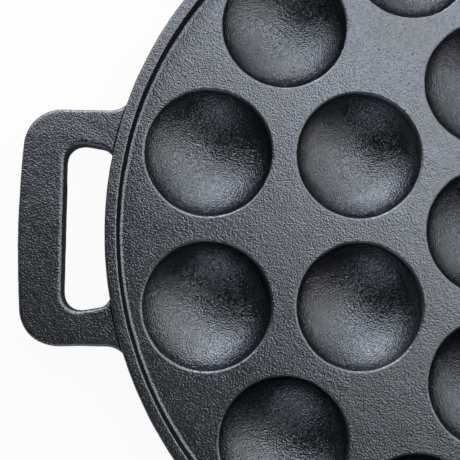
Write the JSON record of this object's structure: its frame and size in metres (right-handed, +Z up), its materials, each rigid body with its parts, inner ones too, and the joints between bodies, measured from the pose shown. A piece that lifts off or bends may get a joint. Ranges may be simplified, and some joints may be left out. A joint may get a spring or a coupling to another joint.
{
  "type": "poffertjes pan",
  "caption": "Round cast-iron pan with rings of half-round cups sunk in a flat plate, a raised rim and a loop handle at each side, for baking small puffed pancakes.",
  "frame": {"origin": "middle of the footprint, on the surface that the foot ring stands on", "axes": "+X through the two handles, +Y across the pan, +Z up out of the cups"},
  "size_m": [0.304, 0.2498, 0.0212],
  "materials": {
    "cast_iron": "sand-cast, seasoned dark blue-grey, fine grain with a dull sheen"
  },
  "bodies": {
    "root": {"griddle_plate": "cast_iron", "rim": "cast_iron", "foot_ring": "cast_iron", "cup_center": "cast_iron", "cup_inner_1": "cast_iron", "cup_inner_2": "cast_iron", "cup_inner_3": "cast_iron", "cup_inner_4": "cast_iron", "cup_inner_5": "cast_iron", "cup_inner_6": "cast_iron", "cup_outer_1": "cast_iron", "cup_outer_2": "cast_iron", "cup_outer_3": "cast_iron", "cup_outer_4": "cast_iron", "cup_outer_5": "cast_iron", "cup_outer_6": "cast_iron", "cup_outer_7": "cast_iron", "cup_outer_8": "cast_iron", "cup_outer_9": "cast_iron", "cup_outer_10": "cast_iron", "cup_outer_11": "cast_iron", "cup_outer_12": "cast_iron", "handle_left": "cast_iron", "handle_right": "cast_iron"}
  },
  "joints": []
}
